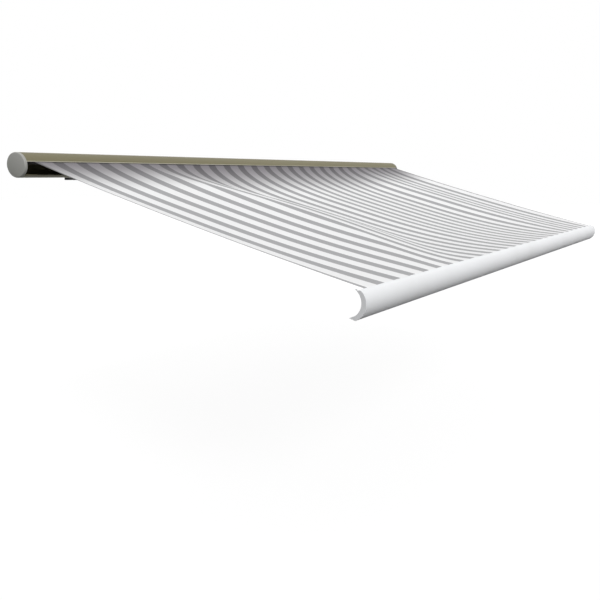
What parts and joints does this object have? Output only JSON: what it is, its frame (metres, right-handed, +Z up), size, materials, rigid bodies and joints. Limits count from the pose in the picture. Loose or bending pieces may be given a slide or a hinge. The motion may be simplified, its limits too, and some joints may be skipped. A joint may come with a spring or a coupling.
{
  "type": "folding-arm cassette awning",
  "caption": "Wall-mounted cassette awning run out on two folding arms, with a striped cloth on a motor-driven roller and a crescent front bar.",
  "frame": {"origin": "middle of the centre wall bracket's back face, on the wall plane", "axes": "+X along the wall to the right as seen from the garden, +Y into the wall, +Z up; the cloth runs out towards -Y and falls 16 degrees"},
  "size_m": [7, 3.1455, 1.0395],
  "materials": {
    "olive_paint": "satin olive powder coat",
    "grey_paint": "satin grey powder coat",
    "white_paint": "satin white powder coat",
    "black_paint": "satin black paint",
    "bare_aluminium": "cast or drawn, bare",
    "steel": "zinc plated",
    "black_plastic": "matte",
    "striped_cloth": "woven, white with grey stripes"
  },
  "bodies": {
    "cassette": {"hood": "olive_paint", "back_profile": "olive_paint", "end_cap_left": "grey_paint", "end_cap_right": "grey_paint", "bearing_plate_left": "bare_aluminium", "bearing_plate_right": "bare_aluminium", "wall_bracket_left": "black_paint", "wall_bracket_centre": "black_paint", "wall_bracket_right": "black_paint", "bracket_clamp_left": "black_paint", "bracket_clamp_centre": "black_paint", "bracket_clamp_right": "black_paint", "clamp_bolt_left": "steel", "clamp_bolt_centre": "steel", "clamp_bolt_right": "steel", "motor_head": "black_plastic", "motor_tube": "steel", "idler_bush": "black_plastic", "arm_bracket_left": "bare_aluminium", "arm_bracket_right": "bare_aluminium", "tilt_block_left": "bare_aluminium", "tilt_block_right": "bare_aluminium", "tilt_bolt_left": "steel", "tilt_bolt_right": "steel", "shoulder_pin_left": "steel", "shoulder_pin_right": "steel", "awning_cloth": "striped_cloth"},
    "roller": {"roller_tube": "bare_aluminium", "cloth_roll": "striped_cloth", "drive_wheel": "black_plastic", "idler_plug": "black_plastic"},
    "front_bar_assembly": {"front_bar": "white_paint", "front_bar_cap_left": "grey_paint", "front_bar_cap_right": "grey_paint", "front_keder": "black_plastic", "wrist_fork_left": "bare_aluminium", "wrist_fork_right": "bare_aluminium", "wrist_plate_left": "bare_aluminium", "wrist_plate_right": "bare_aluminium", "wrist_pin_left": "steel", "wrist_pin_right": "steel"},
    "left_upper_arm_assembly": {"left_shoulder_eye": "bare_aluminium", "left_upper_arm": "white_paint", "left_elbow_fork": "bare_aluminium", "left_elbow_pin": "steel", "left_arm_spring": "steel", "left_arm_cable": "steel"},
    "left_forearm_assembly": {"left_elbow_eye": "bare_aluminium", "left_forearm": "white_paint", "left_wrist_eye": "bare_aluminium"},
    "right_upper_arm_assembly": {"right_shoulder_eye": "bare_aluminium", "right_upper_arm": "white_paint", "right_elbow_fork": "bare_aluminium", "right_elbow_pin": "steel", "right_arm_spring": "steel", "right_arm_cable": "steel"},
    "right_forearm_assembly": {"right_elbow_eye": "bare_aluminium", "right_forearm": "white_paint", "right_wrist_eye": "bare_aluminium"}
  },
  "joints": [
    {"name": "left_shoulder", "type": "hinge", "parent": "cassette", "child": "left_upper_arm_assembly", "pos_m": [-2.96, -0.08611, -0.0205], "axis": [0, -0.2756, 0.9613], "range_deg": [0, 77], "deforming": ["awning_cloth"]},
    {"name": "left_elbow", "type": "hinge", "parent": "left_upper_arm_assembly", "child": "left_forearm_assembly", "pos_m": [-2.63537, -1.5542, -0.44147], "axis": [0, -0.2756, 0.9613], "range_deg": [-154, 0]},
    {"name": "left_wrist", "type": "hinge", "parent": "left_forearm_assembly", "child": "front_bar_assembly", "pos_m": [-2.96, -3.02229, -0.86244], "axis": [0, -0.2756, 0.9613], "range_deg": [0, 77]},
    {"name": "right_shoulder", "type": "hinge", "parent": "cassette", "child": "right_upper_arm_assembly", "pos_m": [2.96, -0.08611, -0.0205], "axis": [0, -0.2756, 0.9613], "range_deg": [-77, 0]},
    {"name": "right_elbow", "type": "hinge", "parent": "right_upper_arm_assembly", "child": "right_forearm_assembly", "pos_m": [2.63537, -1.5542, -0.44147], "axis": [0, -0.2756, 0.9613], "range_deg": [0, 154]},
    {"name": "roller_spin", "type": "hinge", "parent": "cassette", "child": "roller", "pos_m": [0, -0.09813, 0.04679], "axis": [1, 0, 0], "range_deg": [-3973.97, 0]}
  ],
  "couplings": [
    {"joint": "left_elbow", "follows": "left_shoulder", "ratio": -2},
    {"joint": "left_wrist", "follows": "left_shoulder", "ratio": 1},
    {"joint": "right_shoulder", "follows": "left_shoulder", "ratio": -1},
    {"joint": "right_elbow", "follows": "left_shoulder", "ratio": 2},
    {"joint": "roller_spin", "follows": "left_shoulder", "ratio": -51.61}
  ]
}
